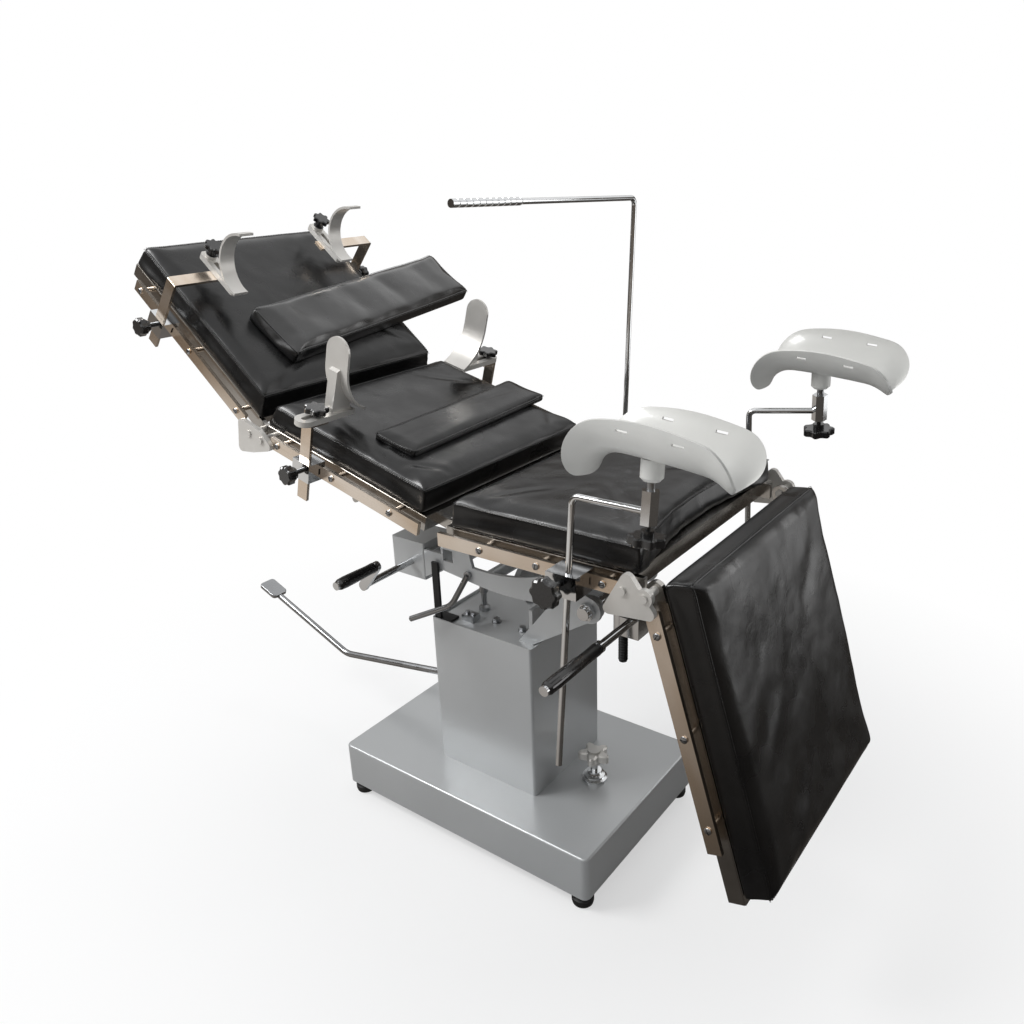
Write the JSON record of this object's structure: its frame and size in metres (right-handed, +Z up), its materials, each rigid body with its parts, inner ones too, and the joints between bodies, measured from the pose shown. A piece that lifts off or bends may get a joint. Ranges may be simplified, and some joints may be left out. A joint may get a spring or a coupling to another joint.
{
  "type": "operating table",
  "caption": "Manual hydraulic operating table with jointed back, head and leg sections, kidney bridge, padded top, side rails, leg holders, side and shoulder supports and a screen frame.",
  "frame": {"origin": "on the floor under the middle of the base", "axes": "+X to the foot end, -Y the side of the cranks, +Z up"},
  "size_m": [1.5389, 0.9405, 1.3023],
  "materials": {
    "grey_paint": "satin silver-grey enamel over sheet steel",
    "frame_paint": "satin silver-grey enamel over welded steel bar",
    "dark_steel": "blackened steel",
    "black_leatherette": "black PVC leatherette, semi-gloss",
    "stainless": "drawn stainless steel bar",
    "chrome": "chrome plated steel",
    "cast_aluminium": "cast aluminium, bare",
    "painted_tube": "silver-grey enamel over steel tube",
    "black_bakelite": "moulded phenolic, polished",
    "black_screw": "blackened and greased screw thread",
    "shell_plastic": "light grey moulded plastic",
    "black_rubber": "moulded black rubber"
  },
  "bodies": {
    "base": {"base_cover": "grey_paint", "base_plate": "dark_steel", "feet": "black_rubber", "column_cover": "grey_paint", "hydraulic_cylinder": "dark_steel", "lock_flange": "chrome"},
    "pedal": {"foot_pedal": "painted_tube"},
    "floor_lock": {"floor_lock_knob": "cast_aluminium"},
    "lift_head_body": {"ram": "chrome", "lift_head": "grey_paint", "head_fittings": "dark_steel", "pivot_pin": "chrome", "guide_post": "dark_steel"},
    "cradle_body": {"cradle": "grey_paint", "gearbox": "grey_paint"},
    "roll_lever": {"side_tilt_lever": "chrome"},
    "tilt_crank_body": {"tilt_crank": "chrome"},
    "tilt_grip_body": {"tilt_crank_grip": "black_bakelite"},
    "seat": {"seat_frame": "frame_paint", "seat_pad": "black_leatherette", "seat_rails": "stainless", "leg_hinge_castings": "chrome", "leg_gearbox": "chrome", "seat_clamps": "chrome", "seat_knobs": "black_bakelite"},
    "leg_crank_body": {"leg_crank": "chrome"},
    "leg_grip_body": {"leg_crank_grip": "black_bakelite"},
    "leg_screw_body": {"leg_screw": "black_screw"},
    "back": {"back_frame": "frame_paint", "back_pad": "black_leatherette", "back_rails": "stainless", "head_hinge_castings": "chrome", "back_clamps": "chrome", "back_knobs": "black_bakelite"},
    "kidney_bridge": {"kidney_pad": "black_leatherette", "kidney_lift": "chrome"},
    "head": {"head_frame": "frame_paint", "head_pad": "black_leatherette", "head_rails": "stainless", "arm_board_pad": "black_leatherette", "head_clamps": "chrome", "head_knobs": "black_bakelite"},
    "leg": {"leg_frame": "frame_paint", "leg_pad": "black_leatherette", "leg_rails": "stainless"},
    "screen": {"screen_rod": "chrome"},
    "near_holder": {"near_holder_rod": "chrome"},
    "near_shell": {"near_holder_shell": "shell_plastic"},
    "near_star": {"near_holder_star": "black_bakelite"},
    "near_shoulder": {"near_shoulder_bar": "stainless"},
    "near_blade": {"near_shoulder_blade": "cast_aluminium"},
    "near_post": {"near_side_post": "stainless"},
    "near_paddle": {"near_side_paddle": "cast_aluminium"},
    "far_holder": {"far_holder_rod": "chrome"},
    "far_shell": {"far_holder_shell": "shell_plastic"},
    "far_star": {"far_holder_star": "black_bakelite"},
    "far_shoulder": {"far_shoulder_bar": "stainless"},
    "far_blade": {"far_shoulder_blade": "cast_aluminium"},
    "far_post": {"far_side_post": "stainless"},
    "far_paddle": {"far_side_paddle": "cast_aluminium"}
  },
  "joints": [
    {"name": "lift", "type": "slide", "parent": "base", "child": "lift_head_body", "axis": [0, 0, 1], "range_m": [0, 0.25]},
    {"name": "tilt", "type": "hinge", "parent": "lift_head_body", "child": "cradle_body", "pos_m": [0.262, 0, 0.588], "axis": [0, 1, 0], "range_deg": [-12, 15]},
    {"name": "roll", "type": "hinge", "parent": "cradle_body", "child": "seat", "pos_m": [0.15, 0, 0.69], "axis": [1, 0, 0], "range_deg": [-10, 10]},
    {"name": "back", "type": "hinge", "parent": "seat", "child": "back", "pos_m": [0.04, 0, 0.744], "axis": [0, 1, 0], "range_deg": [-15.3, 30]},
    {"name": "head", "type": "hinge", "parent": "back", "child": "head", "pos_m": [-0.42202, 0, 0.8704], "axis": [0, 1, 0], "range_deg": [-34, 15]},
    {"name": "leg", "type": "hinge", "parent": "seat", "child": "leg", "pos_m": [0.47, 0, 0.744], "axis": [0, 1, 0], "range_deg": [-73, 15]},
    {"name": "kidney", "type": "slide", "parent": "back", "child": "kidney_bridge", "axis": [0.2639, 0, 0.9646], "range_m": [0, 0.05]},
    {"name": "pedal", "type": "hinge", "parent": "base", "child": "pedal", "pos_m": [-0.072, 0, 0.269], "axis": [0, 1, 0], "range_deg": [-10, 0], "stiffness_Nm_per_rad": 60, "springref_deg": 9.17},
    {"name": "floor_lock", "type": "hinge", "parent": "base", "child": "floor_lock", "pos_m": [0.206, 0, 0.186], "axis": [0, 0, 1], "range_deg": [-180, 180]},
    {"name": "roll_lever", "type": "hinge", "parent": "cradle_body", "child": "roll_lever", "pos_m": [-0.018, -0.11, 0.59], "axis": [0, 1, 0], "range_deg": [-12, 12]},
    {"name": "near_holder_height", "type": "slide", "parent": "seat", "child": "near_holder", "axis": [0, 0.1132, 0.9936], "range_m": [-0.05, 0.2]},
    {"name": "far_holder_height", "type": "slide", "parent": "seat", "child": "far_holder", "axis": [0, -0.1132, 0.9936], "range_m": [-0.05, 0.2]},
    {"name": "near_shell_turn", "type": "hinge", "parent": "near_holder", "child": "near_shell", "pos_m": [0.478, -0.28489, 0.90297], "axis": [0, 0.1132, 0.9936], "range_deg": [-45, 45]},
    {"name": "far_shell_turn", "type": "hinge", "parent": "far_holder", "child": "far_shell", "pos_m": [0.50228, 0.32838, 0.90793], "axis": [0, -0.1132, 0.9936], "range_deg": [-45, 45]},
    {"name": "near_star_turn", "type": "hinge", "parent": "near_holder", "child": "near_star", "pos_m": [0.478, -0.29055, 0.85329], "axis": [0, 0.1132, 0.9936], "continuous": true},
    {"name": "far_star_turn", "type": "hinge", "parent": "far_holder", "child": "far_star", "pos_m": [0.50228, 0.33404, 0.85825], "axis": [0, -0.1132, 0.9936], "continuous": true},
    {"name": "near_shoulder_height", "type": "slide", "parent": "head", "child": "near_shoulder", "axis": [0.6428, 0, 0.766], "range_m": [-0.02, 0.04]},
    {"name": "near_blade_reach", "type": "slide", "parent": "near_shoulder", "child": "near_blade", "axis": [0.766, 0, -0.6428], "range_m": [-0.015, 0.015]},
    {"name": "near_post_height", "type": "slide", "parent": "back", "child": "near_post", "axis": [0.2639, 0, 0.9646], "range_m": [0, 0.05]},
    {"name": "near_paddle_reach", "type": "slide", "parent": "near_post", "child": "near_paddle", "axis": [0, 1, 0], "range_m": [-0.006, 0.028]},
    {"name": "far_shoulder_height", "type": "slide", "parent": "head", "child": "far_shoulder", "axis": [0.6428, 0, 0.766], "range_m": [-0.02, 0.04]},
    {"name": "far_blade_reach", "type": "slide", "parent": "far_shoulder", "child": "far_blade", "axis": [0.766, 0, -0.6428], "range_m": [-0.015, 0.015]},
    {"name": "far_post_height", "type": "slide", "parent": "back", "child": "far_post", "axis": [0.2639, 0, 0.9646], "range_m": [0, 0.05]},
    {"name": "far_paddle_reach", "type": "slide", "parent": "far_post", "child": "far_paddle", "axis": [0, 1, 0], "range_m": [-0.01, 0.024]},
    {"name": "screen_turn", "type": "hinge", "parent": "seat", "child": "screen", "pos_m": [0.104, 0.288, 0.744], "axis": [0.0384, 0, 0.9993], "range_deg": [0, 90]},
    {"name": "tilt_crank_turn", "type": "hinge", "parent": "cradle_body", "child": "tilt_crank_body", "pos_m": [-0.174, -0.18, 0.582], "axis": [0, 1, 0], "continuous": true},
    {"name": "tilt_grip_spin", "type": "hinge", "parent": "tilt_crank_body", "child": "tilt_grip_body", "pos_m": [-0.133, -0.3, 0.634], "axis": [0, 1, 0], "continuous": true},
    {"name": "leg_crank_turn", "type": "hinge", "parent": "seat", "child": "leg_crank_body", "pos_m": [0.408, -0.25, 0.655], "axis": [0, 1, 0], "continuous": true},
    {"name": "leg_grip_spin", "type": "hinge", "parent": "leg_crank_body", "child": "leg_grip_body", "pos_m": [0.408, -0.376, 0.655], "axis": [0, 1, 0], "continuous": true},
    {"name": "leg_screw_turn", "type": "hinge", "parent": "seat", "child": "leg_screw_body", "pos_m": [0.388, -0.2, 0.645], "axis": [0, 0, 1], "continuous": true}
  ],
  "couplings": [
    {"joint": "tilt_crank_turn", "follows": "tilt", "ratio": -36},
    {"joint": "leg_crank_turn", "follows": "leg", "ratio": -36},
    {"joint": "leg_screw_turn", "follows": "leg", "ratio": -36}
  ]
}
